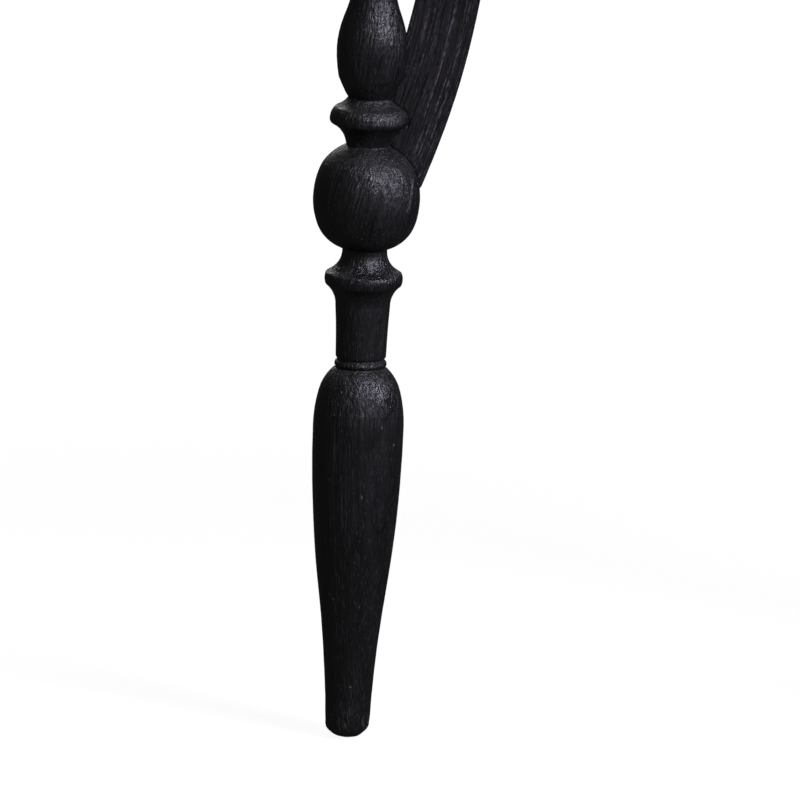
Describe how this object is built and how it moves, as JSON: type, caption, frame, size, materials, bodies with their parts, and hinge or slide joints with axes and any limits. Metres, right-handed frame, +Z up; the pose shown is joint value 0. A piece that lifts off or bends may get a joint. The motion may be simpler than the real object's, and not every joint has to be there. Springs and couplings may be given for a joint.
{
  "type": "neck rest",
  "caption": "Low neck rest with a saddle-shaped top on splayed turned legs, each braced to the top by a curved flat board.",
  "frame": {"origin": "on the floor, under the middle of the saddle", "axes": "+X along the saddle towards the pair of legs, +Y towards the back, +Z up"},
  "size_m": [0.206, 0.0978, 0.199],
  "materials": {
    "rest_wood": "satin",
    "leg_wood": "satin",
    "brace_wood": "satin",
    "peg_wood": "satin"
  },
  "bodies": {
    "root": {"neck_rest": "rest_wood", "left_leg": "leg_wood", "left_brace": "brace_wood", "left_leg_wedge": "peg_wood", "left_brace_wedge": "peg_wood", "left_brace_peg": "peg_wood", "front_right_leg": "leg_wood", "front_right_brace": "brace_wood", "front_right_leg_wedge": "peg_wood", "front_right_brace_wedge": "peg_wood", "front_right_brace_peg": "peg_wood", "rear_right_leg": "leg_wood", "rear_right_brace": "brace_wood", "rear_right_leg_wedge": "peg_wood", "rear_right_brace_wedge": "peg_wood", "rear_right_brace_peg": "peg_wood"}
  },
  "joints": []
}
